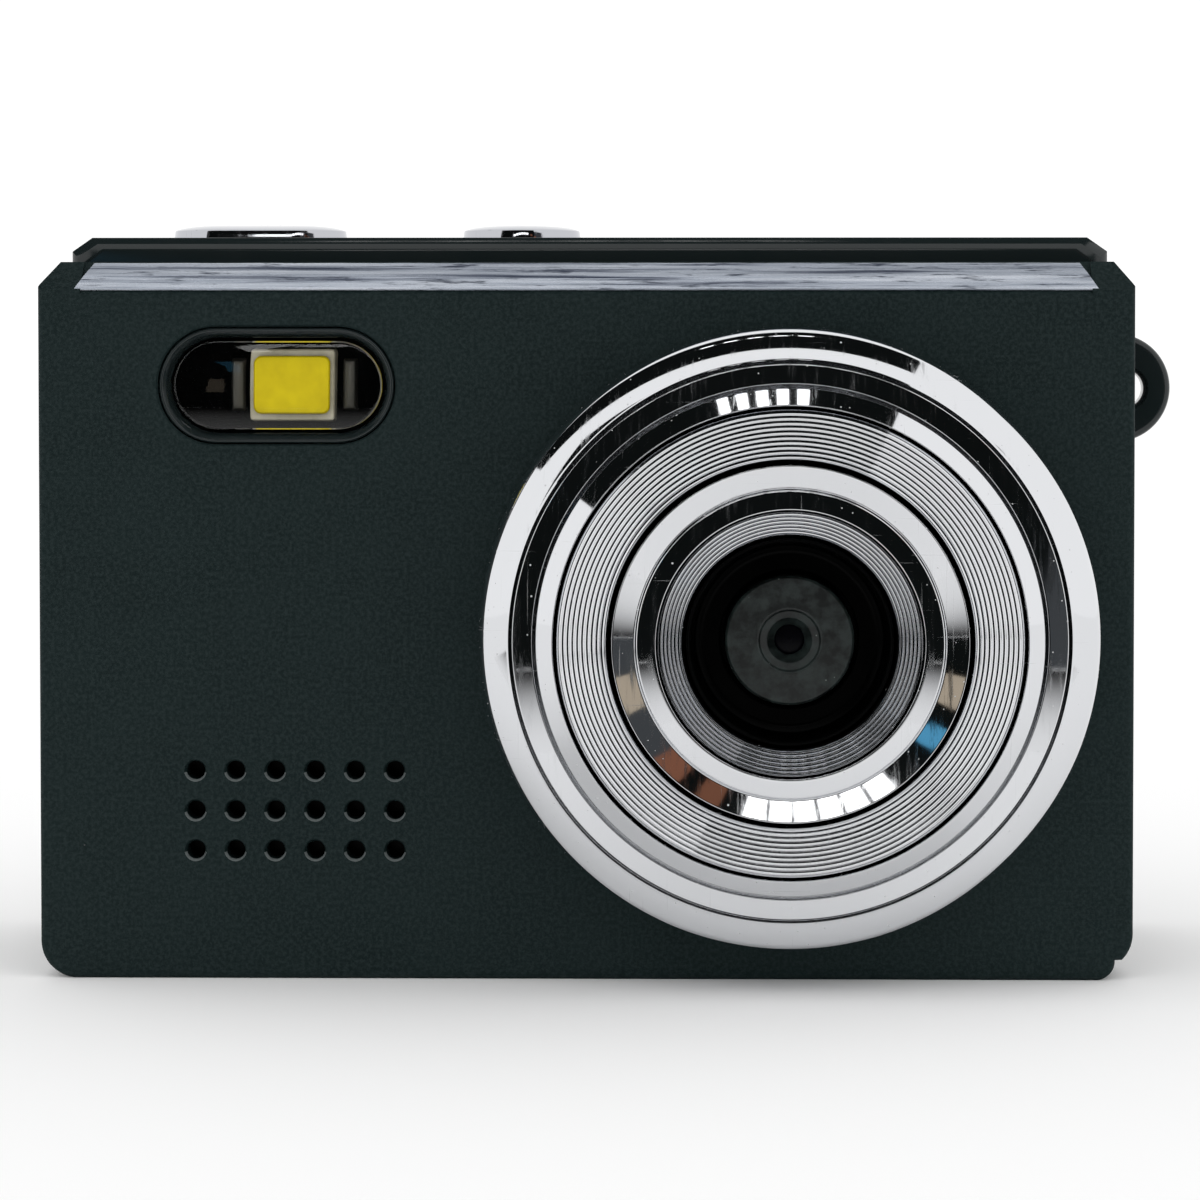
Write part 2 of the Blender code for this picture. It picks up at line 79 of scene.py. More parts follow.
COVER_LOW, COVER_HIGH = millimetres("front_cover")
REAR_LOW, REAR_HIGH = millimetres("rear_cover")
FACE = COVER_LOW[1]            # plane of the front face
PARTING = COVER_HIGH[1]
LENS = upright_centre("lens_outer_ring")
FLASH = upright_centre("flash_bezel")
LED = upright_centre("flash_led")
SPEAKER = upright_centre("speaker")
DISPLAY = upright_centre("lcd_window")
ACTIVE_AREA = (12.4, 9.2)      # half width and half height of the lit part of the display
GRILLE_COLUMNS, GRILLE_ROWS = 6, 3
GRILLE_PITCH = 1.68
GRILLE_HOLE_R = 0.39
TOP_CHAMFER = 1.2
SCREWS = 4
KEYS = 4
FLANGE = 0.4                   # how far a button's or key's flange stands out all round
GAP = 0.12                     # clearance round a button, key or window
BOSS_R = 1.8                   # screw boss
PILOT_R = 0.65                 # screw hole in the front cover
SHANK_R = 0.72                 # screw hole in the rear cover
HEAD_R = 1.3                   # well for a screw's head
LENS_HOLE_R = 3.2
LUG_R = 2.38
LUG_EYE_R = 0.80
BACK_PLANE = -6.0              # where cuts made from the front end
GLOSS_TONE = (0.009, 0.014, 0.0145)


# --- materials -------------------------------------------------------------

class Shader:
    """A Principled material with short helpers for its texture nodes."""

    def __init__(self, name, color, roughness, metallic=0.0, **sockets):
        self.mat = bpy.data.materials.new(name)
        self.mat.use_nodes = True
        self.tree = self.mat.node_tree
        self.bsdf = self.tree.nodes["Principled BSDF"]
        self.set("Base Color", (*color, 1.0))
        self.set("Roughness", roughness)
        self.set("Metallic", metallic)
        for socket, value in sockets.items():
            self.set(socket.replace("_", " "), value)
        self.place = self.node("ShaderNodeTexCoord").outputs["Object"]

    def set(self, socket, value):
        self.bsdf.inputs[socket].default_value = value

    def node(self, kind, **values):
        made = self.tree.nodes.new(kind)
        for key, value in values.items():
            setattr(made, key, value)
        return made

    def link(self, out, into):
        self.tree.links.new(out, into)

    def stretched(self, scale):
        mapping = self.node("ShaderNodeMapping")
        mapping.inputs["Scale"].default_value = scale
        self.link(self.place, mapping.inputs["Vector"])
        return mapping.outputs["Vector"]

    def noise(self, scale, detail=4.0, roughness=0.55, vector=None):
        noise = self.node("ShaderNodeTexNoise")
        noise.inputs["Scale"].default_value = scale
        noise.inputs["Detail"].default_value = detail
        noise.inputs["Roughness"].default_value = roughness
        self.link(vector or self.place, noise.inputs["Vector"])
        return noise.outputs["Fac"]

    def ramp(self, fac, stops):
        ramp = self.node("ShaderNodeValToRGB")
        elements = ramp.color_ramp.elements
        while len(elements) < len(stops):
            elements.new(0.5)
        for element, (position, color) in zip(elements, stops):
            element.position = position
            element.color = (*color, 1.0)
        self.link(fac, ramp.inputs["Fac"])
        return ramp.outputs["Color"]

    def span(self, fac, low, high, start=0.0, end=1.0):
        """Maps fac from start..end to low..high."""
        spread = self.node("ShaderNodeMapRange")
        spread.inputs["From Min"].default_value = start
        spread.inputs["From Max"].default_value = end
        spread.inputs["To Min"].default_value = low
        spread.inputs["To Max"].default_value = high
        self.link(fac, spread.inputs["Value"])
        return spread.outputs["Result"]

    def specks(self, scale, size, share):
        """A mask of small dots, one in each of a share of the cells."""
        cells = self.node("ShaderNodeTexVoronoi")
        cells.inputs["Scale"].default_value = scale
        self.link(self.place, cells.inputs["Vector"])
        dot = self.span(cells.outputs["Distance"], 1.0, 0.0, size * 0.6, size)
        split = self.node("ShaderNodeSeparateColor")
        self.link(cells.outputs["Color"], split.inputs["Color"])
        chosen = self.span(split.outputs["Red"], 0.0, 1.0, 1.0 - share, 1.0 - share + 0.01)
        return self.math("MULTIPLY", dot, chosen)

    def scratches(self):
        """A mask of fine straight scratches in two directions."""
        along = self.noise(1.0, 2, 0.5, self.stretched((160, 400, 9000)))
        across = self.noise(1.0, 2, 0.5, self.stretched((9000, 400, 160)))
        both = self.math("MAXIMUM", along, across)
        return self.span(both, 0.0, 1.0, 0.71, 0.75)

    def math(self, operation, a, b):
        made = self.node("ShaderNodeMath", operation=operation)
        for socket, value in zip(made.inputs, (a, b)):
            if isinstance(value, float):
                socket.default_value = value
            else:
                self.link(value, socket)
        return made.outputs["Value"]

    def mix(self, fac, a, b):
        mix = self.node("ShaderNodeMix", data_type="RGBA")
        self.link(fac, mix.inputs["Factor"])
        for socket, value in ((mix.inputs["A"], a), (mix.inputs["B"], b)):
            if isinstance(value, tuple):
                socket.default_value = (*value, 1.0)
            else:
                self.link(value, socket)
        return mix.outputs["Result"]

    def to(self, socket, out):
        self.link(out, self.bsdf.inputs[socket])
        return self

    def bump(self, height, distance, strength=1.0):
        bump = self.node("ShaderNodeBump")
        bump.inputs["Strength"].default_value = strength
        bump.inputs["Distance"].default_value = distance * MM
        self.link(height, bump.inputs["Height"])
        self.link(bump.outputs["Normal"], self.bsdf.inputs["Normal"])
        return self


def charcoal():
    s = Shader("charcoal_matte", (0.012, 0.019, 0.019), 0.62, Specular_IOR_Level=0.12)
    cloud = s.noise(420, 5)
    grain = s.noise(5200, 2)
    fleck = s.span(s.noise(6000, 3, 0.75), 0.0, 1.0, 0.42, 0.62)
    coarse = s.mix(cloud, (0.0022, 0.0090, 0.0092), (0.0078, 0.0172, 0.0174))
    tone = s.mix(fleck, coarse, (0.0138, 0.0240, 0.0242))
    s.to("Base Color", s.mix(s.specks(900, 0.045, 0.05), tone, (0.05, 0.055, 0.056)))
    s.to("Roughness", s.span(cloud, 0.54, 0.70))
    return s.bump(grain, 0.012, 0.5).mat


def painted_lip_highlight():
    """A lighter, glossier charcoal for the upward-facing lips of the speaker holes, a painted
    highlight.
    """
    s = Shader("charcoal_lip_painted_highlight", (0.15, 0.17, 0.17), 0.3, Specular_IOR_Level=0.8)
    s.to("Roughness", s.span(s.noise(1800, 3), 0.22, 0.4))
    return s.mat


def gloss_black(name="gloss_black", dust=0.16):
    s = Shader(name, GLOSS_TONE, 0.12, Specular_IOR_Level=0.45)
    wear = s.noise(260, 6)
    s.to("Base Color", s.mix(s.specks(1300, 0.06, dust), GLOSS_TONE, (0.16, 0.17, 0.17)))
    s.to("Roughness", s.span(wear, 0.08, 0.22, 0.3, 0.75))
    return s.bump(s.noise(900, 3), 0.002, 0.4).mat


def chrome(name, low, high, dust=0.22, plating=(0.70, 0.71, 0.73)):
    """Bright plating with fine scratches, a slight ripple and dust."""
    s = Shader(name, plating, low, 1.0)
    scratch = s.noise(1.0, 5, 0.7, s.stretched((4200, 700, 380)))
    rough = s.span(scratch, low, high, 0.52, 0.74)
    dots = s.math("MAXIMUM", s.specks(1500, 0.07, dust), s.specks(2900, 0.09, dust))
    dots = s.math("MAXIMUM", dots, s.math("MULTIPLY", s.scratches(), 0.16))
    s.to("Base Color", s.mix(dots, plating, (0.55, 0.56, 0.57)))
    s.to("Roughness", s.math("MAXIMUM", rough, s.span(dots, 0.0, 0.75)))
    s.to("Metallic", s.span(dots, 1.0, 0.0))
    return s.bump(s.noise(300, 3), 0.004, 0.25).mat


def trim():
    """Pale glossy strip with dark lengthwise streaks."""
    s = Shader("trim_streaked", (0.45, 0.47, 0.53), 0.22, 0.35)
    long_streaks = s.noise(1.0, 6, 0.62, s.stretched((55, 2600, 2600)))
    wisps = s.noise(1.0, 4, 0.7, s.stretched((420, 4200, 4200)))
    tone = s.ramp(long_streaks, [(0.33, (0.02, 0.03, 0.06)), (0.40, (0.16, 0.18, 0.23)),
                                 (0.46, (0.40, 0.44, 0.51)), (0.62, (0.62, 0.66, 0.73))])
    s.to("Base Color", s.mix(s.span(wisps, 0.0, 0.9, 0.56, 0.66), tone, (0.03, 0.04, 0.07)))
    s.to("Roughness", s.span(wisps, 0.18, 0.45, 0.4, 0.7))
    return s.bump(long_streaks, 0.01, 0.4).mat


def barrel_grey():
    s = Shader("barrel_satin", (0.022, 0.030, 0.030), 0.36, Specular_IOR_Level=0.45)
    smudge = s.noise(1500, 7, 0.65)
    tone = s.ramp(smudge, [(0.40, (0.0015, 0.0035, 0.0032)), (0.60, (0.013, 0.021, 0.0195))])
    s.to("Base Color", s.mix(s.specks(2600, 0.10, 0.25), tone, (0.12, 0.14, 0.13)))
    s.to("Roughness", s.span(smudge, 0.32, 0.6))
    return s.bump(s.noise(2600, 3), 0.004, 0.4).mat


# Near-black matte: the lens recess wall's own black, and painted shade where it stands on the
# speaker, its gasket and the flash board.
def matte_black(name="recess_black_and_painted_shade"):
    s = Shader(name, (0.0003, 0.0004, 0.0004), 0.25, Specular_IOR_Level=0.04)
    s.to("Roughness", s.span(s.noise(700, 3), 0.18, 0.4))
    return s.mat


def lens_glass():
    s = Shader("coated_glass", (0.004, 0.005, 0.010), 0.3, Specular_IOR_Level=0.08)
    coating = [(0.35, (0.0004, 0.0004, 0.0012)), (0.7, (0.001, 0.001, 0.0028))]
    s.to("Base Color", s.ramp(s.noise(300, 2), coating))
    return s.mat


def clear_plastic(name, tint, rough):
    s = Shader(name, tint, rough, IOR=1.46, Transmission_Weight=1.0)
    s.to("Roughness", s.span(s.noise(900, 4), rough, rough + 0.03, 0.5, 0.8))
    return s.mat


def phosphor():
    s = Shader("led_phosphor", (0.80, 0.62, 0.0), 0.5, Specular_IOR_Level=0.2)
    cloud = s.noise(1400, 4)
    s.to("Base Color", s.ramp(cloud, [(0.3, (0.72, 0.55, 0.0005)), (0.7, (0.86, 0.68, 0.002))]))
    return s.bump(s.noise(4200, 3), 0.01, 0.5).mat


def led_package():
    s = Shader("led_package", (0.62, 0.57, 0.42), 0.5)
    ceramic = [(0.3, (0.50, 0.46, 0.32)), (0.7, (0.70, 0.65, 0.50))]
    s.to("Base Color", s.ramp(s.noise(1100, 3), ceramic))
    return s.bump(s.noise(3000, 3), 0.006, 0.4).mat


def solder():
    s = Shader("solder_dull", (0.22, 0.21, 0.18), 0.38, 0.85)
    s.to("Roughness", s.span(s.noise(1500, 4), 0.25, 0.6))
    return s.bump(s.noise(1300, 4), 0.05, 0.7).mat


def circuit_board(name, mask):
    """Solder mask over faint copper tracks and plated pads."""
    s = Shader(name, mask, 0.35)
    tracks = s.node("ShaderNodeTexBrick", offset=0.37, squash=0.6)
    for socket, value in (("Scale", 700.0), ("Mortar Size", 0.07), ("Mortar Smooth", 0.2)):
        tracks.inputs[socket].default_value = value
    s.link(s.place, tracks.inputs["Vector"])
    lighter = tuple(min(1.0, c * 2.4) for c in mask)
    tone = s.mix(tracks.outputs["Fac"], mask, lighter)
    s.to("Base Color", s.mix(s.specks(700, 0.16, 0.35), tone, (0.42, 0.38, 0.28)))
    s.to("Roughness", s.span(s.noise(800, 3), 0.25, 0.5))
    return s.bump(tracks.outputs["Fac"], 0.02, 0.4).mat


def satin_metal(name, color, low, high):
    s = Shader(name, color, low, 1.0)
    brushed = s.noise(1.0, 5, 0.6, s.stretched((300, 4000, 4000)))
    s.to("Roughness", s.span(brushed, low, high, 0.3, 0.7))
    darker = tuple(c * 0.75 for c in color)
    s.to("Base Color", s.mix(brushed, darker, color))
    return s.bump(brushed, 0.004, 0.3).mat


def chip_epoxy():
    s = Shader("chip_epoxy", (0.012, 0.012, 0.013), 0.5)
    grain = [(0.3, (0.008, 0.008, 0.009)), (0.7, (0.02, 0.02, 0.021))]
    s.to("Base Color", s.ramp(s.noise(2500, 4), grain))
    return s.bump(s.noise(6000, 2), 0.01, 0.5).mat


def amber_film():
    s = Shader("amber_film", (0.42, 0.19, 0.03), 0.35)
    lines = s.noise(1.0, 2, 0.5, s.stretched((3000, 60, 60)))
    s.to("Base Color", s.ramp(lines, [(0.42, (0.30, 0.12, 0.02)), (0.58, (0.55, 0.30, 0.08))]))
    return s.mat


def foil():
    s = Shader("pouch_foil", (0.60, 0.61, 0.63), 0.38, 0.9)
    creases = s.noise(160, 6, 0.7)
    s.to("Roughness", s.span(creases, 0.28, 0.55))
    return s.bump(creases, 0.15, 0.5).mat


def display_glass():
    """Black panel border round a slightly lighter active area with faint rows."""
    s = Shader("display_dark", (0.006, 0.008, 0.014), 0.12)
    split = s.node("ShaderNodeSeparateXYZ")
    s.link(s.place, split.inputs["Vector"])
    inside = []
    for out, centre, half in zip("XZ", DISPLAY, ACTIVE_AREA):
        away = s.math("ABSOLUTE", s.math("SUBTRACT", split.outputs[out], centre * MM), 0.0)
        inside.append(s.span(away, 1.0, 0.0, (half - 0.05) * MM, half * MM))
    area = s.math("MULTIPLY", *inside)
    rows = s.noise(1.0, 2, 0.5, s.stretched((60, 60, 9000)))
    lit = s.ramp(rows, [(0.4, (0.014, 0.018, 0.028)), (0.6, (0.024, 0.030, 0.042))])
    s.to("Base Color", s.mix(area, (0.0015, 0.0015, 0.002), lit))
    return s.mat


# --- mesh helpers ----------------------------------------------------------

def add_piece(name, bm, mat, slot, *nodes, body=ROOT):
    """Makes a bmesh into a visible piece that stands for the named CAD nodes."""
    bmesh.ops.remove_doubles(bm, verts=bm.verts, dist=1e-8)
    bmesh.ops.recalc_face_normals(bm, faces=bm.faces)
    mesh = bpy.data.meshes.new(name)
    bm.to_mesh(mesh)
    bm.free()
    obj = bpy.data.objects.new(name, mesh)
    bpy.context.scene.collection.objects.link(obj)
    return dress(obj, mat, slot, *nodes, body=body)


def dress(obj, mat, slot, *nodes, body=ROOT):
    obj.data.materials.clear()
    obj.data.materials.append(mat)
    obj.data.shade_smooth()
    obj.data.set_sharp_from_angle(angle=SHARP)
    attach(obj, body)
    if nodes:
        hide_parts(*nodes)
    return obj


def loops_bmesh(loops, closed=False):
    """Skins a row of equal-length point loops, capped at both ends or closed on itself."""
    bm = bmesh.new()
    rings = [[bm.verts.new([v * MM for v in point]) for point in loop] for loop in loops]
    pairs = list(zip(rings, rings[1:]))
    if closed:
        pairs.append((rings[-1], rings[0]))
    for a, b in pairs:
        for i in range(len(a)):
            j = (i + 1) % len(a)
            bm.faces.new((a[i], a[j], b[j], b[i]))
    if not closed:
        bm.faces.new(rings[0])
        bm.faces.new(list(reversed(rings[-1])))
    return bm


def arc(cx, cy, radius, start, end, steps):
    turns = [math.radians(start + (end - start) * i / steps) for i in range(steps + 1)]
    return [(cx + radius * math.cos(t), cy + radius * math.sin(t)) for t in turns]


def stadium(length, height, inset=0.0, steps=24):
    radius = height / 2 - inset
    reach = (length - height) / 2
    if reach < 0.001:
        return arc(0, 0, radius, 0, 360, 2 * steps + 2)[:-1]
    return arc(reach, 0, radius, -90, 90, steps) + arc(-reach, 0, radius, 90, 270, steps)


def rounded(width, height, radius, inset=0.0, steps=8):
    x = width / 2 - radius
    y = height / 2 - radius
    r = max(radius - inset, 0.02)
    return (arc(x, y, r, 0, 90, steps) + arc(-x, y, r, 90, 180, steps)
            + arc(-x, -y, r, 180, 270, steps) + arc(x, -y, r, 270, 360, steps))


def fronted(outline, y, centre=(0, 0)):
    """Puts a flat outline into an upright plane at depth y."""
    return [(centre[0] + a, y, centre[1] + b) for a, b in outline]


def flat(outline, z, centre=(0, 0)):
    return [(centre[0] + a, centre[1] + b, z) for a, b in outline]


def filleted(points, radius, steps=5):
    """Rounds the inner corners of an open (radius, height) profile.

    A support point on each side of a fillet keeps the flat between two fillets truly flat
    when it is shaded smooth.
    """
    support = 0.015
    out = [points[0]]
    for before, corner, after in zip(points, points[1:], points[2:]):
        a = Vector(before) - Vector(corner)
        b = Vector(after) - Vector(corner)
        reach = min(radius, a.length * 0.4, b.length * 0.4)
        start = Vector(corner) + a.normalized() * reach
        end = Vector(corner) + b.normalized() * reach
        if a.length * 0.5 > reach + support:
            out.append(tuple(start + a.normalized() * support))
        for i in range(steps + 1):
            t = i / steps
            point = (1 - t) ** 2 * start + 2 * t * (1 - t) * Vector(corner) + t * t * end
            out.append(tuple(point))
        if b.length * 0.5 > reach + support:
            out.append(tuple(end + b.normalized() * support))
    return out + [points[-1]]


def lathe(name, profile, mat, slot, *nodes, steps=STEPS):
    """Turns a (radius, height above the face) profile about the lens axis."""
    circle = [(math.cos(2 * math.pi * i / steps), math.sin(2 * math.pi * i / steps))
              for i in range(steps)]
    loops = [[(LENS[0] + r * c, FACE - h, LENS[1] + r * s) for c, s in circle]
             for r, h in profile]
    return add_piece(name, loops_bmesh(loops, closed=True), mat, slot, *nodes)


def cutter(name, bm):
    """Turns a bmesh into a mesh that carve or grille_cutter can use."""
    bmesh.ops.recalc_face_normals(bm, faces=bm.faces)
    mesh = bpy.data.meshes.new(name)
    bm.to_mesh(mesh)
    bm.free()
    return mesh


def carve(bm, steps):
    """Applies a row of (operation, cutter mesh) Booleans and returns the result as a bmesh."""
    bmesh.ops.recalc_face_normals(bm, faces=bm.faces)
    mesh = bpy.data.meshes.new("carving")
    bm.to_mesh(mesh)
    bm.free()
    obj = bpy.data.objects.new("carving", mesh)
    bpy.context.scene.collection.objects.link(obj)
    tools = []
    for operation, tool_mesh in steps:
        tool = bpy.data.objects.new("tool", tool_mesh)
        bpy.context.scene.collection.objects.link(tool)
        boolean = obj.modifiers.new("cut", "BOOLEAN")
        boolean.operation = operation
        boolean.solver = "EXACT"
        boolean.object = tool
        tools.append(tool)
    depsgraph = bpy.context.evaluated_depsgraph_get()
    result = bmesh.new()
    result.from_mesh(obj.evaluated_get(depsgraph).to_mesh())
    for extra in [obj] + tools:
        bpy.data.objects.remove(extra, do_unlink=True)
    return result


def block(low, high):
    outline = [(low[0], low[2]), (high[0], low[2]), (high[0], high[2]), (low[0], high[2])]
    return loops_bmesh([fronted(outline, low[1]), fronted(outline, high[1])])


def tube_cut(radius_levels, centre, steps=32):
    """A turned cutter along Y: (y, radius) levels."""
    return loops_bmesh([fronted(arc(0, 0, r, 0, 360, steps)[:-1], y, centre)
                        for y, r in radius_levels])


# --- case ------------------------------------------------------------------

def front_outline(inset=0.0, corner_steps=14):
    """Front cover outline; the lower edge draws in faster, which makes its softer bevel."""
    w = COVER_HIGH[0] - inset
    top = COVER_HIGH[2] - inset * 0.5
    low = inset * 2.2
    r = 1.55
    notch = 22.25 - inset
    points = [(w, top - 1.05), (w - 0.8, top), (-w + 0.8, top), (-w, top - 1.05)]
    points += arc(-w + r, low + r, r, 180, 270, corner_steps)
    points += arc(notch - 0.8, low + 0.8, 0.8, 270, 360, corner_steps)
    points += [(notch, 0.85 + inset)]
    return points + arc(w - r, 1.95 + inset, r, -45, 0, corner_steps)


def rear_outline(inset=0.0, corner_steps=10):
    w = REAR_HIGH[0] - inset
    top = REAR_HIGH[2] - inset
    low = inset
    r = 1.1
    points = [(w, top - 0.6), (w - 0.86, top), (-w + 0.86, top), (-w, top - 0.6)]
    points += arc(-w + r, low + r, r, 180, 270, corner_steps)
    return points + arc(w - r, low + r, r, 270, 360, corner_steps)


def edge_levels(face, radius, inward, steps=5):
    """(y, inset) levels that round the edge of a flat end at depth face."""
    out = []
    for i in range(steps + 1):
        t = math.radians(90 * i / steps)
        out.append((face + inward * radius * (1 - math.sin(t)), radius * (1 - math.cos(t))))
    return out


def screw_places():
    return [upright_centre(f"case_screw_{i + 1}") for i in range(SCREWS)]


def on_slope(along, out):
    """(y, z) of a point on the 45 degree top chamfer, moved along it and out of it."""
    root = math.sqrt(0.5)
    y = FACE + TOP_CHAMFER / 2
    z = COVER_HIGH[2] - TOP_CHAMFER / 2
    return y + root * (along - out), z + root * (along + out)


def slope_block(half_length, depth):
    """A block whose face lies on the top chamfer, sunk into it by depth."""
    reach = 3.0
    corners = [(reach, -depth), (reach, reach), (-reach, reach), (-reach, -depth)]
    section = [on_slope(a, b) for a, b in corners]
    return loops_bmesh([[(x, y, z) for y, z in section] for x in (-half_length, half_length)])


def make_front_cover(mat, lip_highlight_mat):
    levels = [(PARTING, 0.0)] + edge_levels(FACE, 0.26, 1)
    shell = loops_bmesh([fronted(front_outline(inset), y) for y, inset in levels])
    strip_half = millimetres("top_trim_strip")[1][0]
    steps = [("DIFFERENCE", cutter("chamfer", slope_block(30.0, 0.0))),
             ("DIFFERENCE", cutter("strip_seat", slope_block(strip_half + 0.1, 0.14)))]
    wall = 1.2
    hollow = rounded(43.6, 27.6, 0.8)
    cavity = [fronted(hollow, y, (0, 15.0)) for y in (FACE + wall, PARTING + 1)]
    steps.append(("DIFFERENCE", cutter("cavity", loops_bmesh(cavity))))
    for place in screw_places():
        boss = tube_cut([(FACE + wall - 0.1, BOSS_R), (PARTING, BOSS_R)], place)
        pilot = tube_cut([(FACE + wall, PILOT_R), (PARTING + 1, PILOT_R)], place)
        steps.append(("UNION", cutter("boss", boss)))
        steps.append(("DIFFERENCE", cutter("pilot", pilot)))
    lens_hole = tube_cut([(FACE - 1, LENS_HOLE_R), (BACK_PLANE, LENS_HOLE_R)], LENS, 64)
    steps.append(("DIFFERENCE", cutter("lens_hole", lens_hole)))
    length, _, height = size("flash_bezel")
    mouth = [(FACE - 0.2, -0.16), (FACE + 0.01, -0.11), (FACE + 0.08, -0.05), (FACE + 0.3, -0.04),
             (BACK_PLANE, -0.04)]
    seat = loops_bmesh([fronted(stadium(length, height, inset), y, FLASH) for y, inset in mouth])
    steps.append(("DIFFERENCE", cutter("flash_seat", seat)))
    steps.append(("DIFFERENCE", cutter("grille", grille_cutter())))
    bm = carve(shell, steps)
    cover = add_piece("front_cover_shell", bm, mat, "charcoal", "front_cover")
    # the upward-facing lips of the speaker holes get a painted highlight
    paint_lip_highlights(cover, lip_highlight_mat)


def paint_lip_highlights(cover, mat):
    """Gives the upward-facing part of each speaker hole's mouth its own lighter material, a
    painted highlight where light falls from above.
    """
    cover.data.materials.append(mat)
    half_width, half_height = 4.8, 2.3      # of the area that holds the grille
    mouth_depth = 0.2
    for face in cover.data.polygons:
        x, y, z = [v / MM for v in face.center]
        near = abs(x - SPEAKER[0]) < half_width and abs(z - SPEAKER[1]) < half_height
        sloped = abs(face.normal.y) < 0.98
        if near and sloped and y < FACE + mouth_depth and face.normal.z > 0.2:
            face.material_index = 1


def grille_cutter():
    """The speaker holes, each with a slightly rounded mouth."""
    levels = [(FACE - 0.1, 0.53), (FACE, 0.47), (FACE + 0.12, 0.42), (FACE + 0.22, GRILLE_HOLE_R),
              (FACE + 1.6, GRILLE_HOLE_R)]
    bm = bmesh.new()
    for column in range(GRILLE_COLUMNS):
        for row in range(GRILLE_ROWS):
            centre = (SPEAKER[0] + (column - (GRILLE_COLUMNS - 1) / 2) * GRILLE_PITCH,
                      SPEAKER[1] + (row - (GRILLE_ROWS - 1) / 2) * GRILLE_PITCH)
            mesh = cutter("hole", tube_cut(levels, centre))
            bm.from_mesh(mesh)
            bpy.data.meshes.remove(mesh)
    return bm


def make_trim_strip(mat):
    """The strip on the chamfer, with its long edges rounded and its ends cut on the slant."""
    low, high = millimetres("top_trim_strip")
    half_wide = 0.78
    section = filleted([(0.0, -0.12), (half_wide, -0.12), (half_wide, 0.02), (0.0, 0.05),
                        (-half_wide, 0.02), (-half_wide, -0.12), (0.0, -0.12)], 0.07, 4)[:-1]
    loops = []
    cuts = 48
    for i in range(cuts + 1):
        x = low[0] + (high[0] - low[0]) * i / cuts
        slant = 0.35 * (2 * i / cuts - 1)
        wave = 0.006 * math.sin(i * 1.7)
        at_end = i in (0, cuts)
        loops.append([(x - slant * a / half_wide * at_end, *on_slope(a, b + wave))
                      for a, b in section])
    add_piece("trim_strip_gloss", loops_bmesh(loops), mat, "trim", "top_trim_strip")


def make_rear_cover(mat):
    front = REAR_LOW[1]
    back = REAR_HIGH[1]
    lip = [(front, 0.60), (front + 0.01, 0.50), (front + 0.014, 0.49), (front + 0.095, 0.29),
           (front + 0.105, 0.27), (front + 0.36, 0.03), (front + 0.42, 0.0)]
    levels = lip + edge_levels(back, 0.5, -1)
    shell = loops_bmesh([fronted(rear_outline(inset), y) for y, inset in levels])
    wall = 1.2
    inner = rounded(2 * (REAR_HIGH[0] - wall), REAR_HIGH[2] - 2 * wall, 0.6)
    centre = (0, REAR_HIGH[2] / 2)
    cavity = loops_bmesh([fronted(inner, front - 1, centre), fronted(inner, back - 1.4, centre)])
    steps = [("DIFFERENCE", cutter("cavity", cavity))]
    for place in screw_places():
        boss = tube_cut([(front, BOSS_R), (back - 0.7, BOSS_R)], place)
        well = tube_cut([(-0.6, HEAD_R), (back - 0.18, HEAD_R), (back + 0.1, HEAD_R + 0.2),
                         (back + 1, HEAD_R + 0.2)], place)
        shank = tube_cut([(front - 1, SHANK_R), (0, SHANK_R)], place)
        steps.append(("UNION", cutter("boss", boss)))
        steps.append(("DIFFERENCE", cutter("well", well)))
        steps.append(("DIFFERENCE", cutter("shank", shank)))
    steps += deck_cuts() + back_cuts(back) + side_cuts()
    bm = carve(shell, steps)
    add_piece("rear_cover_shell", bm, mat, "gloss_black", "rear_cover")


def deck_cuts():
    """Button holes whose rims are slightly broken."""
    steps = []
    top = REAR_HIGH[2]
    levels = [(top - 2.5, -GAP), (top - 0.12, -GAP), (top + 0.03, -0.25), (top + 1, -0.25)]
    for name in ("shutter_button", "power_button"):
        length, depth, _ = size(name)
        cap = (length - 2 * FLANGE, depth - 2 * FLANGE)
        centre = (middle(name, 0), middle(name, 1))
        bm = loops_bmesh([flat(stadium(*cap, inset), z, centre) for z, inset in levels])
        steps.append(("DIFFERENCE", cutter("button_hole", bm)))
    return steps


def back_cuts(back):
    """The display's opening and a hole for each key, with slightly broken rims."""
    levels = [(back - 3, 0.0), (back - 0.15, 0.0), (back + 0.05, -0.18), (back + 1, -0.18)]
    steps = []
    openings = [("lcd_window", 0.0)] + [(f"rear_key_{i + 1}", FLANGE) for i in range(KEYS)]
    for node, flange in openings:
        width, _, height = size(node)
        width += 2 * (GAP - flange)
        height += 2 * (GAP - flange)
        hole = loops_bmesh([fronted(rounded(width - 2 * i, height - 2 * i, 0.8), y,
                                    upright_centre(node)) for y, i in levels])
        steps.append(("DIFFERENCE", cutter("back_opening", hole)))
    return steps


def side_cuts():
    """Socket, card, microphone and lug openings."""
    side = REAR_HIGH[0]
    inside = 20.6                  # x inside the end walls
    mouth = [(b, a) for a, b in stadium(9.2, 3.5)]
    centre = (middle("usb_socket", 1), middle("usb_socket", 2))
    widening = ((inside, 0), (side - 0.12, 0), (side + 0.05, 0.25), (24, 0.25))
    usb = loops_bmesh([[(x, centre[0] + (1 + grow / 4) * a, centre[1] + (1 + grow / 9) * b)
                        for a, b in mouth] for x, grow in widening])
    mic = (middle("microphone", 1), middle("microphone", 2))
    hole = arc(*mic, 0.45, 0, 360, 24)[:-1]
    pin = loops_bmesh([[(x, a, b) for a, b in hole] for x in (-23.0, -inside)])
    return [("DIFFERENCE", cutter("usb", usb)), ("DIFFERENCE", cutter("mic", pin)),
            ("DIFFERENCE", cutter("card", block((3.6, -0.95, -1), (14.6, 0.25, 1.8)))),
            ("DIFFERENCE", cutter("lug", block((inside, 0.18, 23.68), (23, 1.82, 25.82))))]


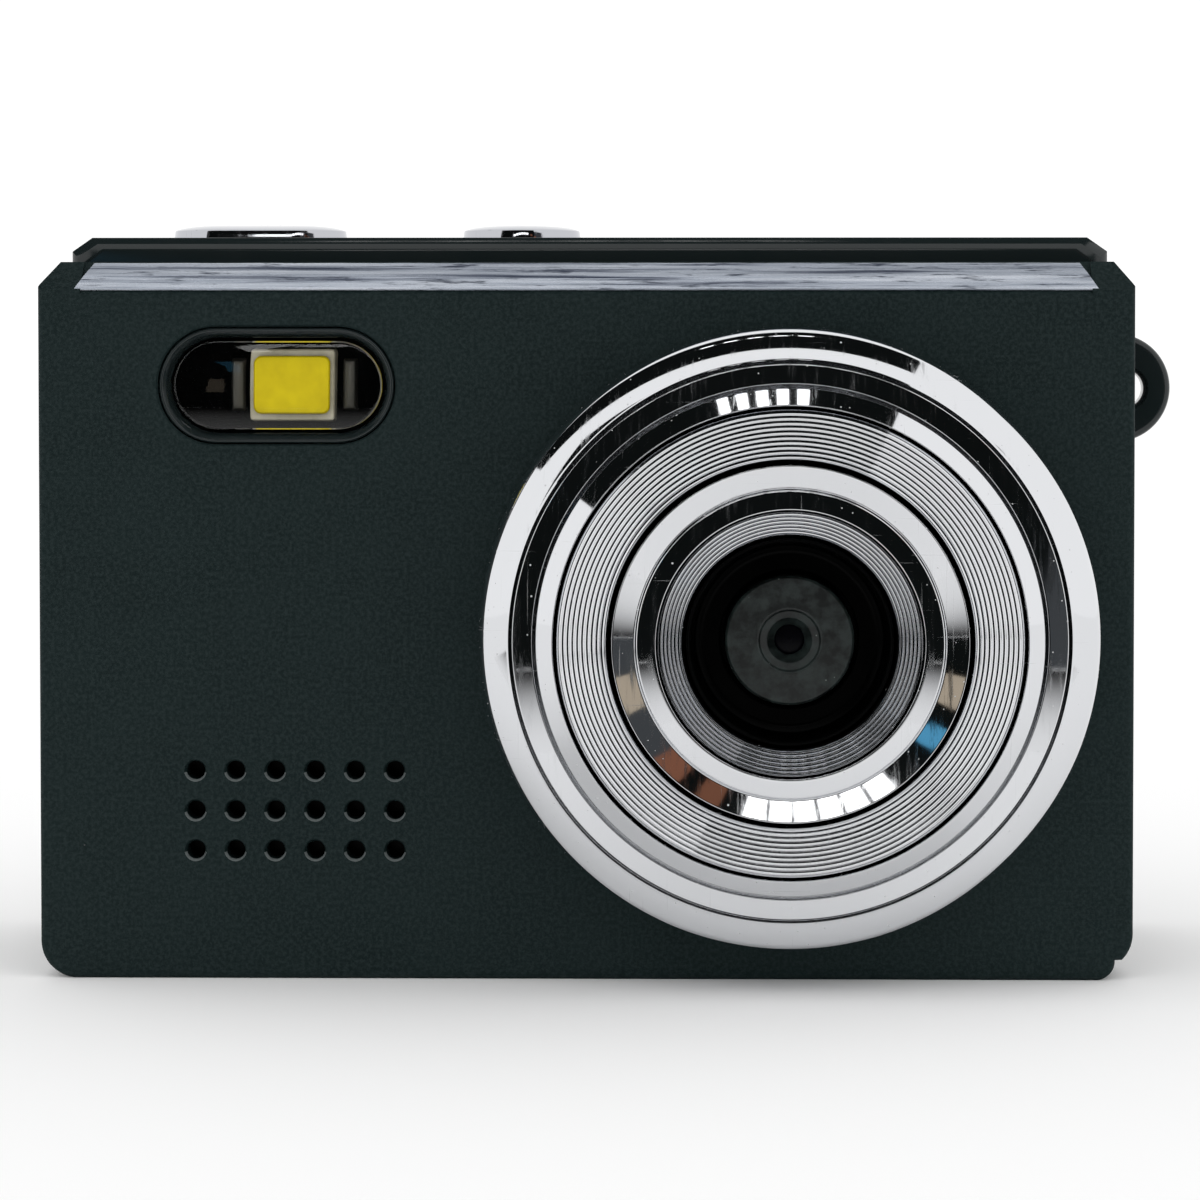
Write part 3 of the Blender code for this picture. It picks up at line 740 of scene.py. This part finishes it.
def make_lug(mat):
    """Half-round tab with rounded edges and eye."""
    low, high = millimetres("strap_lug")
    cx = high[0] - LUG_R
    cz = middle("strap_lug", 2)
    flat_side = REAR_HIGH[0] + 0.12
    eye = (cx + 0.43, cz - 0.03)
    y0, y1 = low[1], high[1]
    levels = sorted(edge_levels(y0, 0.3, 1) + edge_levels(y1, 0.3, -1))

    def outline(inset):
        r = LUG_R - inset
        reach = math.degrees(math.acos((flat_side - cx) / r))
        return arc(cx, cz, r, -reach, reach, 56)

    tab = loops_bmesh([fronted(outline(inset), y) for y, inset in levels])
    foot = block((low[0], 0.3, 23.8), (flat_side + 0.15, 1.7, 25.7))
    flare = [(y0 - 0.1, 1.10), (y0 + 0.02, 0.97), (y0 + 0.25, 0.82), (y0 + 0.5, LUG_EYE_R),
             (y1 - 0.5, LUG_EYE_R), (y1 - 0.25, 0.82), (y1 - 0.02, 0.97), (y1 + 0.1, 1.10)]
    bm = carve(tab, [("UNION", cutter("foot", foot)),
                     ("DIFFERENCE", cutter("eye", tube_cut(flare, eye, 48)))])
    add_piece("strap_lug_tab", bm, mat, "gloss_black", "strap_lug")


# --- lens ------------------------------------------------------------------

def ridges(start, end, count, height):
    """Fine peaked ridges between two (radius, height) points, a flat groove between each."""
    out = []
    shape = ((0.0, -1.3), (0.14, -1.3), (0.17, 0.0), (0.47, 0.96), (0.50, 1.0), (0.53, 0.96),
             (0.83, 0.0), (0.86, -1.3))
    for i in range(count):
        for part, lift in shape:
            t = (i + part) / count
            out.append((start[0] + (end[0] - start[0]) * t,
                        start[1] + (end[1] - start[1]) * t + height * lift))
    return out + [end]


def dome_band():
    """The convex outer band: its slope eases from steep outside to shallow inside."""
    out = []
    r, h = 12.52, 3.80
    cuts = 16
    step = 0.062
    for i in range(cuts + 1):
        out.append((r, h))
        slope = math.radians(38 - 18 * i / cuts)
        r -= step
        h += step * math.tan(slope)
    return out


def make_lens(mats):
    """The rings, recess and module as turned profiles of (radius, height above the face)."""
    plate, black = mats["ring"], mats["recess"]
    back = 0.12                    # how far the rings stand off the face
    outer = [(12.9, back), (12.88, 1.6), (12.80, 3.0), (12.68, 3.56)] + dome_band()
    outer += filleted([(11.50, 4.40), (11.47, 3.6), (11.39, 3.6), (11.35, 4.43), (10.52, 4.545),
                       (10.48, 4.2), (10.42, 4.2), (10.36, 4.72), (9.66, 5.36), (9.60, 5.2),
                       (9.60, back)], 0.05)
    lathe("lens_outer_bezel", outer, plate, "chrome", "lens_outer_ring")
    grooved = [(9.53, back), (9.53, 5.30), (9.47, 5.44)]
    grooved += ridges((9.42, 5.46), (7.46, 5.38), 10, 0.046)
    grooved += [(7.42, 5.20), (7.42, back)]
    lathe("lens_groove_plate", grooved, mats["ridge"], "chrome", "lens_grooved_ring")
    mirror = filleted([(7.3, back), (7.3, 5.4), (7.24, 5.72), (6.33, 5.39), (6.24, 5.60),
                       (5.56, 5.70), (5.45, 5.7), (5.45, back)], 0.05)
    lathe("lens_mirror_band", mirror, plate, "chrome", "lens_polished_ring")
    inner = [(5.36, back), (5.36, 5.55)]
    inner += ridges((5.32, 5.55), (4.42, 4.70), 6, 0.04)
    inner += [(4.36, 4.55), (4.34, 4.45), (4.34, back)]
    lathe("lens_inner_cone", inner, mats["ridge"], "chrome", "lens_inner_ring")
    baffle = filleted([(4.24, back), (4.24, 4.38), (4.15, 4.42), (4.05, 4.3), (3.9, 2.75),
                       (3.6, 2.6), (2.85, 2.6), (2.85, back)], 0.08)
    lathe("lens_recess_wall", baffle, black, "gloss_black", "lens_baffle")
    barrel = filleted([(2.65, -3.3), (2.65, 3.5), (2.55, 3.64), (1.34, 3.70), (1.27, 3.66),
                       (1.22, 3.56), (0.92, 3.40), (0.66, 2.99), (0.60, 2.85), (1.4, 2.85),
                       (1.4, -3.3)], 0.04)
    lathe("lens_barrel_body", barrel, mats["barrel"], "barrel", "lens_barrel")
    lathe("lens_front_element", glass_dome(), mats["glass"], "glass", "lens_element", steps=96)


def glass_dome():
    radius, rise = 1.33, 0.55
    low, rim = 1.6, 2.2
    curve = [(radius * math.cos(math.radians(a)), rim + rise * math.sin(math.radians(a)))
             for a in range(10, 90, 8)]
    return [(radius, low), (radius, rim)] + curve + [(0.03, rim + rise), (0.03, low)]


# --- flash -----------------------------------------------------------------

def make_flash(mats):
    length, _, height = size("flash_bezel")
    section = filleted([(0.0, -6.9), (0.0, FACE + 0.12), (0.12, FACE + 0.03), (0.30, FACE + 0.24),
                        (0.42, FACE + 0.72), (0.42, -6.9)], 0.1)
    loops = [fronted(stadium(length, height, inset), y, FLASH) for inset, y in section]
    rim = loops_bmesh(loops, closed=True)
    add_piece("flash_rim", rim, mats["gloss"], "gloss_black", "flash_bezel")
    low, high = millimetres("flash_window")
    length, _, height = size("flash_window")
    levels = [(high[1], 0.0), (low[1] + 0.12, 0.0), (low[1] + 0.03, 0.05), (low[1], 0.14)]
    loops = [fronted(stadium(length, height, inset), y, FLASH) for y, inset in levels]
    pane = add_piece("flash_pane", loops_bmesh(loops), mats["pane"], "clear", "flash_window")
    pane.visible_shadow = False
    pane.visible_diffuse = False
    make_led(mats)


def make_led(mats):
    """White package, yellow phosphor on its front and a soldered pad at each end."""
    low, high = millimetres("flash_led")
    width, _, height = size("flash_led")
    body = loops_bmesh([fronted(rounded(width, height, 0.12, inset), y, LED)
                        for y, inset in ((high[1], 0.0), (low[1] + 0.05, 0.0), (low[1], 0.05))])
    add_piece("led_body", body, mats["led"], "led", "flash_led")
    low, high = millimetres("flash_phosphor")
    width, _, height = size("flash_phosphor")
    levels = [(high[1], 0.0), (low[1] + 0.1, 0.0), (low[1] + 0.03, 0.05), (low[1], 0.18)]
    wider = 0.22                   # the gel spreads past the CAD node, within the package
    gel = loops_bmesh([fronted(rounded(width + wider - 2 * i, height - 2 * i, 0.3), y, LED)
                       for y, i in levels])
    add_piece("led_gel", gel, mats["phosphor"], "phosphor", "flash_phosphor")
    for side in ("left", "right"):
        node = f"flash_pad_{side}"
        low, high = millimetres(node)
        width, _, height = size(node)
        levels = [(high[1], 0.0), (low[1] + 0.2, 0.02), (low[1] + 0.06, 0.1), (low[1], 0.22)]
        pad = loops_bmesh([fronted(rounded(width - 2 * i, height - 2 * i, 0.07), y,
                                   upright_centre(node)) for y, i in levels])
        add_piece(f"led_solder_{side}", pad, mats["solder"], "solder", node)


# --- buttons and keys ------------------------------------------------------

def make_deck_button(node, mat):
    """Low cap with upright sides, a rounded shoulder and a slight dome, on its flange."""
    low, high = millimetres(node)
    length = high[0] - low[0] - 2 * FLANGE
    depth = high[1] - low[1] - 2 * FLANGE
    centre = (middle(node, 0), middle(node, 1))
    base, top = low[2] + 0.45, high[2]
    levels = [(low[2], -FLANGE), (base, -FLANGE), (base, 0.0), (top - 0.60, 0.0),
              (top - 0.30, 0.04), (top - 0.27, 0.05), (top - 0.23, 0.12), (top - 0.22, 0.15),
              (top - 0.14, 0.42)]
    for share in (0.25, 0.5, 0.7, 0.85, 0.95):
        levels.append((top - 0.14 * (1 - share) ** 2, 0.42 + (depth / 2 - 0.5) * share))
    cap = loops_bmesh([flat(stadium(length, depth, inset, 40), z, centre) for z, inset in levels])
    add_piece(node.replace("button", "cap"), cap, mat, "chrome", node, body=node + "_body")


def make_rear_key(index, mat):
    node = f"rear_key_{index}"
    low, high = millimetres(node)
    width = high[0] - low[0] - 2 * FLANGE
    height = high[2] - low[2] - 2 * FLANGE
    base, face = low[1] + 0.4, high[1]
    levels = [(low[1], -FLANGE), (base, -FLANGE), (base, 0.0), (face - 0.3, 0.0),
              (face - 0.12, 0.06), (face - 0.03, 0.2), (face - 0.02, 0.4), (face, 0.75)]
    cap = loops_bmesh([fronted(rounded(width - 2 * i, height - 2 * i, 0.7), y,
                               upright_centre(node)) for y, i in levels])
    add_piece(f"key_cap_{index}", cap, mat, "gloss_black", node, body=node + "_body")


# --- carried-over CAD nodes ------------------------------------------------

def recolour(mats):
    """Gives every CAD node a textured material by its record slot, three of them a darker one. The
    speaker and its gasket get near-black as painted shade behind the speaker holes; the flash
    board's dark colour is darkened to near-black as painted shade of the flash well.
    """
    slots = {part["node"]: part["material_slot"] for part in frame["record"]["subparts"]}
    # near-black speaker and gasket: painted shade behind the speaker holes; near-black flash
    # board: painted shade in the flash well
    slots.update(flash_board="flash_board", speaker="recess", speaker_gasket="recess")
    for node, obj in frame["nodes"].items():
        obj.data.materials.clear()
        obj.data.materials.append(mats[slots[node]])


def make_materials():
    gloss = gloss_black()
    return {
        "charcoal": charcoal(), "gloss": gloss, "gloss_black": gloss, "trim": trim(),
        "ring": chrome("chrome_ring", 0.045, 0.22, 0.45),
        "ridge": chrome("chrome_ridge", 0.05, 0.14, 0.06),
        "chrome": chrome("chrome_button", 0.05, 0.2, plating=(0.50, 0.51, 0.54)),
        # near-black: the lens recess wall's own black, and painted shade on the speaker and its
        # gasket
        "recess": matte_black(),
        "barrel": barrel_grey(), "glass": lens_glass(),
        "filter": clear_plastic("filter_glass", (0.55, 0.9, 0.85), 0.02),
        "clear": clear_plastic("display_window", (0.50, 0.52, 0.55), 0.01),
        "pane": clear_plastic("flash_acrylic", (0.95, 0.96, 0.96), 0.01),
        "led": led_package(), "phosphor": phosphor(), "solder": solder(),
        "dark_plastic": gloss_black("holder_plastic", 0.05), "chip": chip_epoxy(),
        "board": circuit_board("board_green", (0.008, 0.045, 0.022)), "flex": amber_film(),
        "steel": satin_metal("plated_steel", (0.55, 0.55, 0.56), 0.2, 0.45),
        "foil": foil(), "lcd": display_glass(),
        # flash board: its dark board colour darkened to near-black, painted shade of the flash
        # well
        "flash_board": matte_black("board_black_painted_shade"),
        # lighter colour on the speaker holes' upward-facing lips: a painted highlight
        "lip": painted_lip_highlight(),
    }


# --- stage -----------------------------------------------------------------

# The stage is in metres throughout.
CARD_Y = -0.116                # plane of the lamps and coloured cards in front of the lens
FLAG_Y = -0.118                # plane of the black and grey cards just behind them
# Small coloured cards in front of the lens: name, (x, z), (half width, half height), colour
TINTED_CARDS = (
    ("brown_card_low", (0.0430, 0.0645), (0.0045, 0.006), (0.20, 0.085, 0.05)),
    ("brown_card_high", (0.0590, 0.0535), (0.0048, 0.006), (0.24, 0.10, 0.06)),
    ("beige_card_right", (0.0784, 0.0245), (0.0040, 0.0075), (0.50, 0.42, 0.32)),
    ("beige_card_left", (-0.0560, 0.0234), (0.0030, 0.0065), (0.50, 0.42, 0.32)),
    ("blue_card", (-0.0471, 0.0420), (0.0028, 0.005), (0.10, 0.38, 0.62)),
)


def emission(name, color, strength):
    mat = bpy.data.materials.new(name)
    mat.use_nodes = True
    nodes = mat.node_tree.nodes
    nodes.clear()
    glow = nodes.new("ShaderNodeEmission")
    glow.inputs["Color"].default_value = (*color, 1.0)
    glow.inputs["Strength"].default_value = strength
    out = nodes.new("ShaderNodeOutputMaterial")
    mat.node_tree.links.new(glow.outputs["Emission"], out.inputs["Surface"])
    return mat


def fading(name, span):
    """Glow that goes from nearly black to white along y, over the given span in metres."""
    mat = emission(name, (1.0, 1.0, 1.0), 1.0)
    nodes, links = mat.node_tree.nodes, mat.node_tree.links
    place = nodes.new("ShaderNodeTexCoord")
    split = nodes.new("ShaderNodeSeparateXYZ")
    links.new(place.outputs["Object"], split.inputs["Vector"])
    fade = nodes.new("ShaderNodeMapRange")
    fade.interpolation_type = "SMOOTHSTEP"
    reach = {"From Min": span[0], "From Max": span[1], "To Min": 0.012, "To Max": 0.95}
    for socket, value in reach.items():
        fade.inputs[socket].default_value = value
    links.new(split.outputs["Y"], fade.inputs["Value"])
    links.new(fade.outputs["Result"], nodes["Emission"].inputs["Strength"])
    return mat


def card(name, centre, right, up, mat):
    """A flat studio card that only shows in reflections. Metres; half-size edge vectors."""
    centre, right, up = Vector(centre), Vector(right), Vector(up)
    mesh = bpy.data.meshes.new(name)
    corners = [centre - right - up, centre + right - up, centre + right + up, centre - right + up]
    mesh.from_pydata([tuple(c) for c in corners], [], [(0, 1, 2, 3)])
    mesh.materials.append(mat)
    obj = bpy.data.objects.new(name, mesh)
    bpy.context.scene.collection.objects.link(obj)
    obj.visible_camera = False
    obj.visible_diffuse = False
    obj.visible_shadow = False


def make_floor():
    mat = bpy.data.materials.new("floor_white")
    mat.use_nodes = True
    shader = mat.node_tree.nodes["Principled BSDF"]
    shader.inputs["Base Color"].default_value = (0.93, 0.93, 0.93, 1)
    shader.inputs["Roughness"].default_value = 1.0
    shader.inputs["Specular IOR Level"].default_value = 0.0
    bpy.ops.mesh.primitive_plane_add(size=6, location=(0, 0, 0))
    floor = bpy.context.object
    floor.name = "studio_floor"
    floor.data.materials.append(mat)


def make_studio():
    world = bpy.data.worlds.new("soft_white")
    bpy.context.scene.world = world
    world.use_nodes = True
    sky = world.node_tree.nodes["Background"]
    sky.inputs["Color"].default_value = (1, 1, 1, 1)
    sky.inputs["Strength"].default_value = 1.1
    black = emission("card_black", (0.005, 0.006, 0.006), 1.0)
    lamp = emission("card_lamp", (1.0, 1.0, 1.0), 3.0)
    grey = emission("card_grey", (0.06, 0.065, 0.07), 1.0)
    card("front_flag", (-0.020, FLAG_Y, 0.054), (0.078, 0, 0), (0, 0, 0.0535), black)
    card("floor_flag", (-0.004, -0.086, 0.0003), (0.094, 0, 0), (0, 0.032, 0),
         fading("card_fading", (FLAG_Y, -0.054)))
    card("side_flag", (0.082, FLAG_Y, 0.045), (0.024, 0, 0), (0, 0, 0.0445), grey)
    card("top_flag", (-0.32, -0.02, 0.60), (0.64, 0, 0), (0, 0.36, 0), black)
    for i in range(5):
        card(f"top_lamp_{i}", (-0.15 + 0.05 * i, -0.085, 0.57), (0.014, 0, 0), (0, 0.034, 0), lamp)
    for i in range(6):
        x = -0.0255 + 0.0101 * i
        card(f"front_lamp_{i}", (x, CARD_Y, 0.073 - 7.5 * (x - 0.012) ** 2),
             (0.0042, 0, 0), (0, 0, 0.006), lamp)
    for name, centre, half, color in TINTED_CARDS:
        card(name, (centre[0], CARD_Y, centre[1]), (half[0], 0, 0), (0, 0, half[1]),
             emission(name + "_glow", color, 1.0))


def make_camera():
    """Camera a little below the deck's height and right of the middle, looking straight on."""
    eye = Vector((5.7, FACE - 155.0, 27.0)) * MM
    middle_of_view = Vector((0.62, FACE, 16.02)) * MM
    view_width = 50.25 * MM
    shift_x, shift_y = -0.05, -0.12
    aim = middle_of_view - Vector((shift_x, 0, shift_y)) * view_width
    data = bpy.data.cameras.new("camera")
    sensor = 36.0
    data.sensor_width = sensor
    data.lens = sensor * (aim - eye).length / view_width
    data.shift_x = shift_x
    data.shift_y = shift_y
    data.clip_start = 0.01
    data.dof.use_dof = False
    camera = bpy.data.objects.new("camera", data)
    camera.location = eye
    camera.rotation_euler = (aim - eye).to_track_quat("-Z", "Y").to_euler()
    bpy.context.scene.collection.objects.link(camera)
    bpy.context.scene.camera = camera
    bpy.context.scene.view_settings.view_transform = "Standard"


def main():
    mats = make_materials()
    recolour(mats)
    make_front_cover(mats["charcoal"], mats["lip"])
    make_trim_strip(mats["trim"])
    make_rear_cover(mats["gloss"])
    make_lug(mats["gloss"])
    make_lens(mats)
    make_flash(mats)
    make_deck_button("shutter_button", mats["chrome"])
    make_deck_button("power_button", mats["chrome"])
    for index in range(1, KEYS + 1):
        make_rear_key(index, mats["gloss"])
    make_floor()
    make_studio()
    make_camera()


main()
